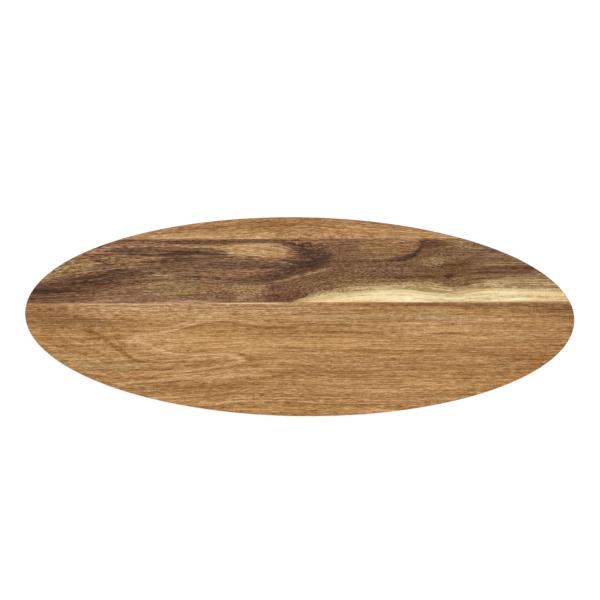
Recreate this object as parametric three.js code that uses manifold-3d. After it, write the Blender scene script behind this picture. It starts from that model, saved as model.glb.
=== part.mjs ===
// Oval serving board of solid acacia: three long staves, edge-glued into a panel, then sawn to an oval
// and eased round both rims. Millimetres, +Z up, +X along the grain, +Y across it towards the narrow
// stave. The origin is the centre of the underside.

import * as THREE from "three";
import { mergeVertices, toCreasedNormals } from "three/addons/utils/BufferGeometryUtils.js";
import Module from "manifold-3d";

// Driving dimensions
const BOARD_LENGTH = 500; // along the oval's long axis
const BOARD_THICKNESS = 15;
const UPPER_STAVE_WIDTH = 20; // widths across the grain, where each stave is widest
const MIDDLE_STAVE_WIDTH = 57.5;
const LOWER_STAVE_WIDTH = 103.5;
const GLUE_THICKNESS = 0.15; // one cured glue line
const OUTLINE_TURN_DEG = -1; // the oval was sawn this far off the grain
const RIM_RADIUS = 1.5; // easing of the top and bottom rims

// Fineness of the facets
const OUTLINE_POINTS = 144;
const RIM_STEPS = 4;
const CREASE_DEG = 30; // faces that meet at less than this are shaded as one surface

// The layers of the panel across the grain, from the lower stave up
const ACACIA = { roughness: 0.55, metalness: 0 };
const CURED_GLUE = { color: 0x8a6238, roughness: 0.4, metalness: 0 };
const LAYERS = [
  { name: "lower_stave", width: LOWER_STAVE_WIDTH, finish: { color: 0xae8356, ...ACACIA } },
  { name: "lower_glue_line", width: GLUE_THICKNESS, finish: CURED_GLUE },
  { name: "middle_stave", width: MIDDLE_STAVE_WIDTH, finish: { color: 0x8c6c4e, ...ACACIA } },
  { name: "upper_glue_line", width: GLUE_THICKNESS, finish: CURED_GLUE },
  { name: "upper_stave", width: UPPER_STAVE_WIDTH, finish: { color: 0xae845a, ...ACACIA } },
];

// The oval fills the panel: it is as wide across the grain as the staves and the glue between them.
const panelWidth = LAYERS.reduce((sum, layer) => sum + layer.width, 0);
const outlineTurn = THREE.MathUtils.degToRad(OUTLINE_TURN_DEG);
const halfLength = BOARD_LENGTH / 2;
const halfWidth =
  Math.sqrt((panelWidth / 2) ** 2 - (halfLength * Math.sin(outlineTurn)) ** 2) / Math.cos(outlineTurn);

const wasm = await Module();
wasm.setup();

// A closed geometry as a solid that can be cut
function toSolid(geometry) {
  const bare = geometry.clone();
  bare.deleteAttribute("normal");
  bare.deleteAttribute("uv");
  const merged = mergeVertices(bare);
  const mesh = new wasm.Mesh({
    numProp: 3,
    vertProperties: merged.getAttribute("position").array,
    triVerts: new Uint32Array(merged.index.array),
  });
  return new wasm.Manifold(mesh);
}

// A cut solid as a geometry, with its flat joint faces kept crisp
function toGeometry(solid) {
  const mesh = solid.getMesh();
  const geometry = new THREE.BufferGeometry();
  geometry.setAttribute("position", new THREE.BufferAttribute(mesh.vertProperties, 3));
  geometry.setIndex(new THREE.BufferAttribute(mesh.triVerts, 1));
  return toCreasedNormals(geometry, THREE.MathUtils.degToRad(CREASE_DEG));
}

// The whole oval with its rims eased, as if it were one piece
function ovalBoard() {
  const outline = new THREE.Shape();
  outline.absellipse(0, 0, halfLength, halfWidth, 0, 2 * Math.PI, false, outlineTurn);
  const rim = Math.min(RIM_RADIUS, BOARD_THICKNESS / 3);
  const board = new THREE.ExtrudeGeometry(outline, {
    depth: BOARD_THICKNESS - 2 * rim,
    curveSegments: OUTLINE_POINTS / 2,
    bevelThickness: rim,
    bevelSize: rim,
    bevelOffset: -rim,
    bevelSegments: RIM_STEPS,
  });
  board.translate(0, 0, rim);
  return toSolid(board);
}

// The strip of the panel from one y to another, running past the oval at its ends and faces
function strip(lowY, highY) {
  const section = new THREE.Shape([
    new THREE.Vector2(-BOARD_LENGTH, lowY),
    new THREE.Vector2(BOARD_LENGTH, lowY),
    new THREE.Vector2(BOARD_LENGTH, highY),
    new THREE.Vector2(-BOARD_LENGTH, highY),
  ]);
  const bar = new THREE.ExtrudeGeometry(section, { depth: 3 * BOARD_THICKNESS, bevelEnabled: false });
  bar.translate(0, 0, -BOARD_THICKNESS);
  return toSolid(bar);
}

// Each layer is the part of the oval that its strip of the panel holds. The two outer strips run past
// the oval, so that only the joints cut it.
const board = new THREE.Group();
board.name = "oval_serving_board";
const oval = ovalBoard();
let jointY = -panelWidth / 2;
LAYERS.forEach((layer, index) => {
  const lowY = index === 0 ? jointY - BOARD_THICKNESS : jointY;
  jointY += layer.width;
  const highY = index === LAYERS.length - 1 ? jointY + BOARD_THICKNESS : jointY;
  const geometry = toGeometry(oval.intersect(strip(lowY, highY)));
  const piece = new THREE.Mesh(geometry, new THREE.MeshStandardMaterial(layer.finish));
  piece.name = layer.name;
  board.add(piece);
});

export default board;
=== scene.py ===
# Looks of the oval serving board: three staves of oiled acacia, each with its own figure, and the
# glue between them. Places in the wood are in millimetres in the part's frame, seen on the serving face.
import math
from typing import NamedTuple

import bmesh
import bpy
from mathutils import Matrix, Vector


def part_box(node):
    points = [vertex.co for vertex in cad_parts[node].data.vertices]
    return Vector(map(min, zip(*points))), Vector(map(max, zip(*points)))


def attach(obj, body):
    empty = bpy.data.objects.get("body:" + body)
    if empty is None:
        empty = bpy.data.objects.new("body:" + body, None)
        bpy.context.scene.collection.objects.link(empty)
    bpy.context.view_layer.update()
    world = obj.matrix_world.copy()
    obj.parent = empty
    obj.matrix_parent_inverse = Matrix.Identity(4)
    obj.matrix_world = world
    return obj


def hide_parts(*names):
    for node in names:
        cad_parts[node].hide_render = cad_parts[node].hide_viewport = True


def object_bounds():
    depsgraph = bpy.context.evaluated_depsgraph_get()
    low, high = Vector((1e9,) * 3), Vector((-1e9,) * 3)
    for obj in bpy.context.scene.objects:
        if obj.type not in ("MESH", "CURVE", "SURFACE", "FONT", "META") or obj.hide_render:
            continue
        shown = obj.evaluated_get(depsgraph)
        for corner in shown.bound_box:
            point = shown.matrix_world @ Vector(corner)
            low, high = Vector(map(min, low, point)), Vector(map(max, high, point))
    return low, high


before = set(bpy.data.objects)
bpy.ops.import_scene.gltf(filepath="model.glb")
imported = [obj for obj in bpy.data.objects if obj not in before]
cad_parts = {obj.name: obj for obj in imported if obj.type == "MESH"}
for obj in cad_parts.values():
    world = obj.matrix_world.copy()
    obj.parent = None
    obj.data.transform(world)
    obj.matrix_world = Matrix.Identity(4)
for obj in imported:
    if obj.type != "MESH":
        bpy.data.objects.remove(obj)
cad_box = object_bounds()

# Sizes, in metres, from the frame or as in the part
MM = 0.001
MM_PER_METRE = 1000
OUTLINE_TURN = math.radians(-1)
RIM_RADIUS = 1.5 * MM
board_low, board_high = cad_box
TOP = board_high.z
UNDERSIDE = board_low.z

# Fineness of the meshes
RIM_STEPS = 6
COLUMNS = 40
STAVE_ROWS = 150
GLUE_ROWS = 1
HALVINGS = 50
SAME_POINT = MM / 100
SHARP_EDGE = math.radians(30)

# The photograph's frame
IMAGE_WIDTH_PX = 600
BOARD_LENGTH_PX = 549.31
BOARD_CENTRE_PX = Vector((299.79, 316.65))
GLUE_LINE_RISE = 0.0036  # the glue lines climb to the right by this angle, in radians
LENS_MM = 120
SENSOR_MM = 36


# Outline of the oval

def oval_half_axes():
    """The half axes of the oval that is turned by OUTLINE_TURN and just fills the CAD box."""
    cos2 = math.cos(OUTLINE_TURN) ** 2
    sin2 = math.sin(OUTLINE_TURN) ** 2
    reach_x2 = ((board_high.x - board_low.x) / 2) ** 2
    reach_y2 = ((board_high.y - board_low.y) / 2) ** 2
    half_length = math.sqrt((reach_x2 * cos2 - reach_y2 * sin2) / (cos2 - sin2))
    half_width = math.sqrt((reach_y2 * cos2 - reach_x2 * sin2) / (cos2 - sin2))
    return half_length, half_width


HALF_LENGTH, HALF_WIDTH = oval_half_axes()
CREST = math.atan2(HALF_WIDTH * math.cos(OUTLINE_TURN), HALF_LENGTH * math.sin(OUTLINE_TURN))


def outline_point(angle, inset):
    """The point of the oval at an angle, moved in square to the edge."""
    point = Vector((HALF_LENGTH * math.cos(angle), HALF_WIDTH * math.sin(angle)))
    outward = Vector((HALF_WIDTH * math.cos(angle), HALF_LENGTH * math.sin(angle))).normalized()
    return Matrix.Rotation(OUTLINE_TURN, 2) @ (point - inset * outward)


def outline_angle(y, inset, side):
    """The angle at which the oval's right (side 1) or left (side -1) half passes y, or its end there."""
    low, high = CREST - side * math.pi, CREST
    for _ in range(HALVINGS):
        middle = (low + high) / 2
        if outline_point(middle, inset).y < y:
            low = middle
        else:
            high = middle
    return (low + high) / 2


def rim_profile():
    """Pairs of inset and height down the edge, from the serving face to the underside."""
    profile = []
    for step in range(RIM_STEPS + 1):
        turn = math.pi / 2 * step / RIM_STEPS
        profile.append((RIM_RADIUS * (1 - math.sin(turn)), RIM_RADIUS * (1 - math.cos(turn))))
    upper = [(inset, TOP - drop) for inset, drop in profile]
    lower = [(inset, UNDERSIDE + drop) for inset, drop in reversed(profile)]
    return upper + lower


# Meshes

def arc(y_low, y_high, inset, side, rows):
    """Points of the outline between two heights across the board, on one side of it."""
    start = outline_angle(y_low, inset, side)
    end = outline_angle(y_high, inset, side)
    return [outline_point(start + (end - start) * row / rows, inset) for row in range(rows + 1)]


def add_face(mesh, corners, smooth=False):
    """A face on the corners, leaving out repeats, so that a row may close to a point."""
    distinct = list(dict.fromkeys(corners))
    if len(distinct) > 2:
        mesh.faces.new(distinct).smooth = smooth


def add_surface(mesh, grid, smooth=False):
    """A sheet of faces over rows of vertices."""
    for row, above in zip(grid, grid[1:]):
        for corner in range(len(row) - 1):
            corners = (row[corner], row[corner + 1], above[corner + 1], above[corner])
            add_face(mesh, corners, smooth)


def rim_rings(mesh, node, rows):
    """Rings of vertices down the left and the right edge of a CAD node's slice, shared where they meet."""
    node_low, node_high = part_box(node)
    left, right = [], []
    for inset, z in rim_profile():
        arcs = [arc(node_low.y, node_high.y, inset, side, rows) for side in (-1, 1)]
        left_ring, right_ring = ([mesh.verts.new((*point, z)) for point in side] for side in arcs)
        for row, (left_point, right_point) in enumerate(zip(*arcs)):
            if (left_point - right_point).length < SAME_POINT:
                mesh.verts.remove(right_ring[row])
                right_ring[row] = left_ring[row]
        left.append(left_ring)
        right.append(right_ring)
    return left, right


def face_rows(mesh, left_ring, right_ring):
    """Rows of vertices over the board from its left edge to its right edge."""
    rows = []
    for start, end in zip(left_ring, right_ring):
        if start is end:
            rows.append([start] * (COLUMNS + 1))
            continue
        steps = [start.co.lerp(end.co, column / COLUMNS) for column in range(1, COLUMNS)]
        rows.append([start] + [mesh.verts.new(step) for step in steps] + [end])
    return rows


def linked_object(name, mesh):
    """An object in the scene made from the mesh, which is freed."""
    data = bpy.data.meshes.new(name)
    mesh.to_mesh(data)
    mesh.free()
    made = bpy.data.objects.new(name, data)
    bpy.context.scene.collection.objects.link(made)
    return made


def layer_object(name, node, rows):
    """One layer of the panel, where its CAD node is: a slice of the oval with its rims eased."""
    mesh = bmesh.new()
    left, right = rim_rings(mesh, node, rows)
    faces = []
    for ring in (0, -1):
        faces.append(face_rows(mesh, left[ring], right[ring]))
        add_surface(mesh, faces[-1])
    add_surface(mesh, left, smooth=True)
    add_surface(mesh, right, smooth=True)
    for row in (0, -1):
        right_edge = [ring[row] for ring in right]
        left_edge = [ring[row] for ring in reversed(left)]
        add_face(mesh, faces[0][row] + right_edge + faces[1][row][::-1] + left_edge)

    bmesh.ops.recalc_face_normals(mesh, faces=mesh.faces)
    for edge in mesh.edges:
        edge.smooth = edge.calc_face_angle(0) < SHARP_EDGE
    return linked_object(name, mesh)


# Values that vary through a material, written as arithmetic and built as nodes

class Field:
    """A number at each point of a material."""

    def __init__(self, socket):
        self.socket = socket

    @property
    def tree(self):
        return self.socket.id_data

    def __add__(self, other):
        return compute("ADD", self, other)

    __radd__ = __add__

    def __sub__(self, other):
        return compute("SUBTRACT", self, other)

    def __rsub__(self, other):
        return compute("SUBTRACT", other, self)

    def __mul__(self, other):
        return compute("MULTIPLY", self, other)

    __rmul__ = __mul__

    def __truediv__(self, other):
        return compute("DIVIDE", self, other)


class Place(NamedTuple):
    """A point in the wood, in millimetres."""
    x: Field
    y: Field
    z: Field


def plug(value, socket):
    """Links a field to the socket, or sets a plain value on it."""
    if isinstance(value, Field):
        value.tree.links.new(value.socket, socket)
    else:
        socket.default_value = value


def tree_of(values):
    return next(value.tree for value in values if isinstance(value, Field))


def compute(operation, *values):
    node = tree_of(values).nodes.new("ShaderNodeMath")
    node.operation = operation
    for value, socket in zip(values, node.inputs):
        plug(value, socket)
    return Field(node.outputs[0])


def smooth_step(value, start, end):
    """0 where the value is at start, 1 where it is at end, with a soft change between."""
    node = value.tree.nodes.new("ShaderNodeMapRange")
    node.interpolation_type = "SMOOTHSTEP"
    plug(value, node.inputs["Value"])
    plug(start, node.inputs["From Min"])
    plug(end, node.inputs["From Max"])
    return Field(node.outputs["Result"])


def blend(first, second, share):
    """The first number where the share is 0, the second where it is 1."""
    return first + share * (second - first)


# Places of the colour sockets on a mix node
MIX_SHARE, MIX_FIRST, MIX_SECOND, MIX_RESULT = 0, 6, 7, 2


def tinted(colour, tint, share):
    """The colour where the share is 0, the plain tint where it is 1."""
    node = share.tree.nodes.new("ShaderNodeMix")
    node.data_type = "RGBA"
    plug(share, node.inputs[MIX_SHARE])
    plug(colour, node.inputs[MIX_FIRST])
    plug((*tint, 1), node.inputs[MIX_SECOND])
    return Field(node.outputs[MIX_RESULT])


def curve(value, points):
    """The height over the value of a smooth curve through a few points, level beyond its ends."""
    node = value.tree.nodes.new("ShaderNodeFloatCurve")
    node.mapping.use_clip = False
    node.mapping.extend = "HORIZONTAL"
    knots = node.mapping.curves[0].points
    knots[0].location = points[0]
    knots[1].location = points[-1]
    for point in points[1:-1]:
        knots.new(*point)
    for knot in knots:
        knot.handle_type = "AUTO_CLAMPED"
    node.mapping.update()
    plug(value, node.inputs["Value"])
    return Field(node.outputs["Value"])


def green_of(colour):
    node = colour.tree.nodes.new("ShaderNodeSeparateColor")
    plug(colour, node.inputs[0])
    return Field(node.outputs["Green"])


def combine(x, y, z):
    node = tree_of((x, y, z)).nodes.new("ShaderNodeCombineXYZ")
    for value, socket in zip((x, y, z), node.inputs):
        plug(value, socket)
    return Field(node.outputs[0])


def multiply(colour, scale):
    """A colour with each of its channels scaled."""
    node = scale.tree.nodes.new("ShaderNodeVectorMath")
    node.operation = "MULTIPLY"
    plug(colour, node.inputs[0])
    plug(scale, node.inputs[1])
    return Field(node.outputs[0])


NOISE_DETAIL = 2.0
SEED_STEP_ALONG = 7.3  # how far apart two seeds lie in the noise, along the grain and down, in its cells
SEED_STEP_DOWN = 3.1


class Layer(NamedTuple):
    """One noise: the length along the grain and the width of its streaks, in millimetres, and its seed."""
    length: float
    width: float
    seed: int
    strength: float = 1.0


def noise(place, layer, seed=0):
    """Soft noise of about -1 to 1 times the layer's strength, drawn out along the grain."""
    node = place.x.tree.nodes.new("ShaderNodeTexNoise")
    node.inputs["Scale"].default_value = 1.0
    node.inputs["Detail"].default_value = NOISE_DETAIL
    seed = seed + layer.seed
    along = place.x / layer.length + SEED_STEP_ALONG * seed
    down = place.z / layer.width + SEED_STEP_DOWN * seed
    plug(combine(along, place.y / layer.width, down), node.inputs["Vector"])
    return (Field(node.outputs["Fac"]) * 2.0 - 1.0) * layer.strength


# The figure of the wood

SPECULAR_LEVEL = 0.15
GLOSS = 0.017  # light that the oiled surface returns over the wood's own colour
LEAST_LIGHT = 0.002


def light(level):
    """The light that a screen level, 0 to 255, stands for, by the sRGB curve."""
    share = level / 255
    return share / 12.92 if share <= 0.04045 else ((share + 0.055) / 1.055) ** 2.4


def seen(*levels):
    """The wood colour that looks like a screen colour of red, green and blue under its gloss."""
    return tuple(max(light(level) - GLOSS, LEAST_LIGHT) for level in levels)


class Mark(NamedTuple):
    """A streak or patch that runs along the grain. Its points hold x, y and half its width there."""
    colour: tuple
    strength: float
    feather: float  # share of its half width over which its edge fades
    points: list
    ragged: float = 1.0  # how far its edges fray along the grain


class Area(NamedTuple):
    """Where the wood's texture differs, placed as a mark is, but with no colour of its own."""
    strength: float
    points: list
    feather: float = 0.9
    ragged: float = 1.0


class Climb(NamedTuple):
    """How far the grain has climbed at each x, and the share of that which it takes at each y."""
    rise: list
    share: list


class Rings(NamedTuple):
    """Growth rings that the face cuts as nested arches: curves over x of their middle line and core."""
    axis: list
    core: list


class Stave(NamedTuple):
    """What sets one stave's wood apart."""
    seed: int
    colour: tuple  # the plain wood
    reddening: tuple  # how red, green and blue follow a change of tone
    lean: float  # how far the figure moves across the grain for each unit of depth
    climbs: list
    bands: float  # strengths of the noise, from broad bands to single fibres
    streaks: float
    lines: float
    threads: float
    fibres: float
    line_length: float
    hues: float  # strength of the redder and greyer streaks
    settle: float  # keeps the average light as it is under the noise and the pores
    marks: list
    lively: list = []  # areas where the fibres show more
    mottled: list = []  # areas of short fibres
    specks: float = 0.0  # strength of the short fibres
    rings: Rings = None
    sapwood: bool = False


# Colours, as they look in the photograph: of the golden staves, of the dark one and of its sapwood
PALE = seen(207, 166, 117)
STRAW = seen(198, 152, 99)
WHEAT = seen(197, 156, 108)
BISCUIT = seen(193, 154, 111)
ASH = seen(185, 153, 110)
HONEY = seen(175, 131, 83)
CARAMEL = seen(171, 129, 87)
AMBER = seen(150, 106, 62)
COCOA = seen(143, 103, 67)
CINNAMON = seen(112, 74, 44)
CREAM = seen(236, 200, 150)

GOLD = seen(185, 145, 99)
SAND = seen(178, 138, 101)
OLIVE = seen(162, 129, 89)
TAN = seen(153, 113, 75)
CHESTNUT = seen(149, 109, 76)
DUN = seen(146, 115, 83)
OLIVE_BROWN = seen(140, 110, 72)
BROWN = seen(132, 98, 71)
GREY_BROWN = seen(126, 95, 65)
RUST = seen(115, 79, 57)
WALNUT = seen(113, 81, 54)
VIOLET = seen(103, 74, 57)
SIENNA = seen(101, 68, 42)
UMBER = seen(97, 69, 51)
INK = seen(74, 53, 41)
SCORCH = seen(72, 48, 30)

SAPWOOD_WHITE = seen(245, 227, 185)
SAPWOOD = seen(237, 211, 162)
SAPWOOD_GOLD = seen(217, 186, 132)
SAPWOOD_EDGE = seen(190, 161, 115)

UPPER_MARKS = [
    Mark(WHEAT, 0.85, 0.8, [(-148, 72.5, 0), (-112, 74.3, 1.3), (-95, 74.5, 2.8), (-62, 73.8, 3.6),
        (-42, 75, 3.4), (-20, 73, 2.6), (4, 73.2, 1.2), (14, 73, 0)]),
    Mark(AMBER, 0.5, 0.9, [(-115, 82, 0), (-80, 81.5, 2.5), (-62, 80.5, 2.5), (-40, 84.5, 3.5),
        (-14, 83, 3.5), (5, 85.5, 3), (25, 87, 0)]),
    Mark(AMBER, 0.8, 0.8, [(-45, 81, 0), (-32, 83, 1.3), (-20, 84.5, 1.3), (-8, 85, 0)]),
    Mark(STRAW, 0.45, 0.9, [(22, 77, 0), (38, 79, 3.5), (52, 80, 4), (66, 80, 0)]),
    Mark(STRAW, 0.5, 0.9, [(52, 75, 0), (64, 76, 3.4), (76, 78.8, 3.2), (88, 79, 3), (98, 77.5, 2.6),
        (114, 74.5, 3.4), (135, 73, 2), (150, 72, 0)]),
]

MIDDLE_MARKS = [
    # Broad areas
    Mark(OLIVE, 0.55, 0.9, [(-186, 20, 0), (-166, 20, 3), (-148, 20.3, 3), (-134, 20.5, 2.2),
        (-118, 21, 1.4), (-102, 21.3, 0)]),
    Mark(SAND, 0.8, 0.8, [(-152, 13, 0), (-130, 13.3, 0.8), (-108, 13.8, 1.8), (-85, 13.4, 1),
        (-68, 13, 0)], ragged=0.5),
    Mark(OLIVE, 0.85, 0.9, [(-146, 23.5, 0), (-132, 24.2, 3), (-116, 24.3, 4), (-102, 24.8, 3),
        (-84, 25.2, 2.2), (-72, 25, 1.8), (-60, 25, 0)]),
    Mark(OLIVE, 0.6, 0.8, [(-140, 38.5, 0), (-130, 38, 2), (-121, 37, 2.2), (-112, 36.5, 1),
        (-104, 36.5, 0)]),
    Mark(RUST, 1.0, 0.7, [(-252, 17, 6), (-225, 17, 4.5), (-205, 16, 3), (-192, 15, 1.5), (-180, 14.5, 0)]),
    Mark(UMBER, 0.85, 0.6, [(-250, 24, 5), (-232, 26, 5), (-215, 28.5, 6), (-195, 31.5, 5.2),
        (-178, 35, 5.6), (-165, 38, 4.4), (-150, 39.8, 2.6), (-138, 39.8, 2), (-128, 40, 0)]),
    Mark(RUST, 0.7, 0.8, [(-225, 21, 0), (-205, 23, 2.5), (-185, 25, 3), (-168, 28, 1.6), (-156, 30, 0)]),
    Mark(OLIVE, 1.0, 0.6, [(-248, 32, 2), (-232, 38, 4), (-217, 43.5, 5.2), (-203, 47.5, 6),
        (-193, 48.5, 4.8), (-186, 48.5, 2), (-180, 48, 0)], ragged=0.7),
    Mark(CHESTNUT, 0.95, 0.7, [(-220, 54, 3), (-202, 56.5, 4), (-187, 58.5, 4), (-175, 58, 2.5),
        (-165, 57, 0)]),
    Mark(CHESTNUT, 0.4, 0.7, [(-185, 65, 2), (-165, 67, 4), (-145, 67.5, 3), (-126, 68, 2), (-110, 69, 0)]),
    Mark(WALNUT, 0.8, 0.9, [(-170, 48, 0), (-150, 49, 2.5), (-130, 50, 3.5), (-105, 50, 4.5), (-80, 49, 4),
        (-60, 48, 3), (-45, 48, 0)]),
    Mark(VIOLET, 0.55, 0.8, [(-131, 53, 0), (-120, 53.3, 2.5), (-112, 52.5, 2.5), (-104, 52, 1.5),
        (-94, 52, 0)], ragged=0.6),
    Mark(RUST, 0.85, 0.9, [(-40, 22, 0), (-30, 21, 6), (-15, 21, 9), (0, 21, 7), (10, 21, 4), (18, 22, 0)]),
    Mark(OLIVE, 1.0, 0.9, [(-65, 23, 0), (-57, 23.5, 5), (-47, 24, 7.5), (-37, 25, 4.5), (-29, 25, 0)]),
    Mark(WALNUT, 0.95, 0.8, [(0, 33, 0), (20, 36, 5), (45, 40, 4.5), (75, 41, 6.5), (105, 40, 8),
        (135, 39.5, 7), (155, 39, 5), (172, 38, 0)]),
    Mark(BROWN, 0.75, 0.9, [(35, 40, 0), (50, 41, 4), (75, 40.8, 8), (95, 42, 4.5), (108, 42, 0)]),
    Mark(OLIVE_BROWN, 0.95, 0.8, [(34, 30, 0), (48, 31, 2.2), (60, 31.3, 3.8), (80, 31.5, 3.8),
        (100, 31.5, 3.4), (120, 31, 2.5), (140, 28, 3), (150, 28, 0)], ragged=0.6),
    Mark(OLIVE_BROWN, 0.95, 0.9, [(136, 33, 0), (148, 32.8, 2.6), (165, 32.8, 2.1), (190, 33.2, 1.6),
        (215, 33.4, 2), (235, 33, 3)]),
    Mark(TAN, 1.0, 0.5, [(54, 66, 0), (61, 64.5, 4.2), (68, 62.8, 7), (82, 62.3, 8.6), (95, 63, 8.5),
        (104, 65, 6), (111, 68, 0)], ragged=0.4),
    Mark(GREY_BROWN, 0.5, 0.9, [(56, 56, 0), (70, 56.2, 2), (86, 57.5, 2.5), (98, 59, 2.5), (106, 61, 0)],
        ragged=0.3),
    Mark(GREY_BROWN, 0.9, 0.7, [(100, 48, 0), (112, 54, 8), (125, 56, 12), (145, 53, 15), (160, 46, 8),
        (172, 42, 0)], ragged=0.5),
    Mark(OLIVE, 0.55, 0.9, [(108, 49, 0), (118, 50, 4), (125, 50.5, 4.5), (131, 50, 2), (136, 50, 0)],
        ragged=0.4),
    Mark(DUN, 0.9, 0.8, [(126, 68, 0), (138, 67, 3), (150, 64.8, 3.8), (162, 61.5, 3), (174, 59, 0)],
        ragged=0.5),
    Mark(SIENNA, 0.85, 0.9, [(126, 45, 0), (136, 45.5, 3.5), (147, 45.5, 4.5), (158, 47.5, 0)], ragged=0.4),
    Mark(SIENNA, 0.85, 0.8, [(156, 39.5, 0), (166, 39.6, 2), (176, 39.4, 2.8), (190, 39.6, 2.8),
        (205, 40.3, 2.8), (222, 42, 2.2)], ragged=0.5),
    Mark(RUST, 0.75, 0.9, [(148, 50, 0), (156, 52, 2), (164, 54.5, 2.5), (172, 57.3, 2.4), (180, 60, 1.7),
        (186, 61.5, 0)], ragged=0.3),
    Mark(UMBER, 0.8, 0.9, [(109, 62, 0), (114, 63.7, 2.8), (120, 64.3, 2.8), (127, 64, 2), (134, 63, 0)],
        ragged=0.3),
    Mark(WALNUT, 0.75, 0.9, [(105, 55, 0), (111, 57.5, 3.5), (118, 58.8, 4), (127, 59.5, 3), (136, 60, 0)],
        ragged=0.4),
    Mark(UMBER, 0.6, 0.8, [(145, 48.5, 0), (153, 52, 0.9), (160, 55.5, 0.9), (168, 59.5, 0.8),
        (173, 62, 0)], ragged=0.15),
    Mark(CHESTNUT, 0.8, 0.8, [(211, 38.8, 0), (216, 38.4, 1), (221, 38, 1.2), (230, 38, 1.2)], ragged=0.2),
    Mark(UMBER, 0.65, 0.8, [(-222, 26, 0), (-212, 26.5, 1.5), (-200, 28.2, 1.8), (-190, 30, 1.2),
        (-180, 32, 0)], ragged=0.4),
    Mark(RUST, 0.6, 0.9, [(-80, 19, 0), (-71, 19, 3), (-64, 19.5, 5), (-58, 19.5, 3), (-53, 19.5, 0)],
        ragged=0.2),
    Mark(SIENNA, 0.6, 0.9, [(-34, 15, 0), (-27, 15.2, 2.4), (-16, 15.3, 2.6), (-7, 15.8, 1.4),
        (0, 16.5, 0)], ragged=0.2),
    Mark(BROWN, 0.45, 0.9, [(-6, 20.5, 0), (1, 20.5, 2.5), (8, 21, 3), (15, 22, 0)], ragged=0.3),
    Mark(WALNUT, 0.5, 0.9, [(18, 25, 0), (26, 26, 1.8), (36, 27.5, 1.6), (46, 28.5, 0)], ragged=0.3),
    Mark(UMBER, 0.55, 0.9, [(-154, 43.5, 0), (-145, 43.8, 2), (-134, 45.5, 2.8), (-120, 47, 2.5),
        (-106, 47.5, 0)], ragged=0.4),
    Mark(RUST, 0.55, 0.9, [(-192, 43, 0), (-184, 45.5, 3), (-176, 47, 3), (-166, 47, 1.5), (-158, 47, 0)],
        ragged=0.4),
    Mark(RUST, 0.5, 0.9, [(14, 60, 0), (26, 60.5, 4), (40, 60.5, 4), (52, 61, 0)], ragged=0.5),
    Mark(UMBER, 0.55, 0.9, [(-68, 31, 0), (-54, 31.3, 2.2), (-42, 31.3, 1.6), (-30, 31.3, 2.4),
        (-20, 31, 0)], ragged=0.3),
    # The dark heart and the light almond beside it
    Mark(UMBER, 0.85, 0.7, [(-18, 60, 0), (-8, 61, 4.6), (0, 61, 5.2), (6, 59, 4.8), (12, 57, 3.5),
        (20, 56, 0)], ragged=0.4),
    Mark(CHESTNUT, 0.75, 0.8, [(-8, 70, 0), (4, 69.4, 1.6), (12, 66.9, 3.4), (28, 68.2, 2.8),
        (42, 68.5, 1.5), (52, 68, 0)], ragged=0.4),
    Mark(INK, 0.97, 0.7, [(-35, 47, 0), (-20, 46, 3.5), (-8, 48, 7), (5, 50, 9), (16, 51, 9), (23, 53, 6),
        (30, 56, 0)], ragged=0.6),
    Mark(GOLD, 1.0, 0.35, [(-92, 64, 0), (-80, 63.2, 1), (-70, 62.3, 2.2), (-63, 61.8, 3.3), (-55, 60.7, 5),
        (-44, 60.1, 6.6), (-28, 59.3, 6.9), (-18, 58.6, 6.2), (-11, 58, 5.2), (-7, 57.3, 3), (-4, 56.5, 0)],
        ragged=0.5),
    Mark(PALE, 0.6, 0.8, [(-72, 62.3, 0), (-60, 62.3, 1.2), (-46, 63.3, 1.2), (-32, 63.6, 1.1),
        (-22, 61.5, 1.5), (-15, 59.8, 1.4), (-10, 58.5, 0)], ragged=0.4),
    Mark(CHESTNUT, 0.5, 0.9, [(-17, 55, 0), (-11, 56, 3.5), (-6, 57, 3), (-2, 56.5, 0)], ragged=0.4),
    Mark(GOLD, 0.7, 0.7, [(-70, 52.8, 0), (-58, 53, 1), (-38, 52.9, 1.1), (-24, 51.6, 1.3),
        (-12, 48.7, 0.7), (-2, 46.5, 0)], ragged=0.3),
    Mark(OLIVE, 0.9, 0.7, [(-64, 56, 0), (-58, 55.8, 1), (-50, 55.4, 1.2), (-40, 55, 0)], ragged=0.4),
    Mark(CHESTNUT, 0.75, 0.8, [(-24, 52.5, 0), (-13, 52.6, 1.6), (-4, 52.4, 1.5), (5, 52.2, 1.2),
        (12, 52, 0)], ragged=0.6),
    # Dark streaks
    Mark(INK, 1.0, 0.6, [(-252, 25, 2.8), (-238, 24.2, 3), (-222, 23.8, 2.3), (-205, 24.5, 1),
        (-196, 25, 0)]),
    Mark(INK, 0.85, 0.7, [(-222, 34, 0), (-205, 35.3, 1.1), (-188, 36, 1.3), (-176, 40, 1.2),
        (-165, 42.3, 1), (-145, 42.8, 0)], ragged=0.7),
    Mark(UMBER, 0.8, 0.6, [(-178, 60.5, 0), (-168, 60.8, 1.8), (-152, 60.6, 2.6), (-140, 61, 2.4),
        (-128, 61, 1.2), (-118, 60, 0)], ragged=0.7),
    Mark(INK, 0.95, 0.75, [(-158, 57.6, 0), (-148, 57, 0.6), (-135, 56.8, 0.6), (-124, 57, 1.6),
        (-112, 58, 3.3), (-100, 59, 3), (-90, 58.4, 2), (-80, 57, 1.7), (-71, 56.8, 1.1), (-64, 56.6, 0.6),
        (-57, 56.5, 0)], ragged=0.6),
    Mark(RUST, 1.0, 0.6, [(-130, 68.4, 0), (-115, 67.9, 1.3), (-90, 67.6, 1.5), (-70, 68.4, 1.6),
        (-50, 69, 1.5), (-34, 69.2, 1.4), (-20, 69.6, 0.8), (-10, 69.6, 0)], ragged=0.6),
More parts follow.
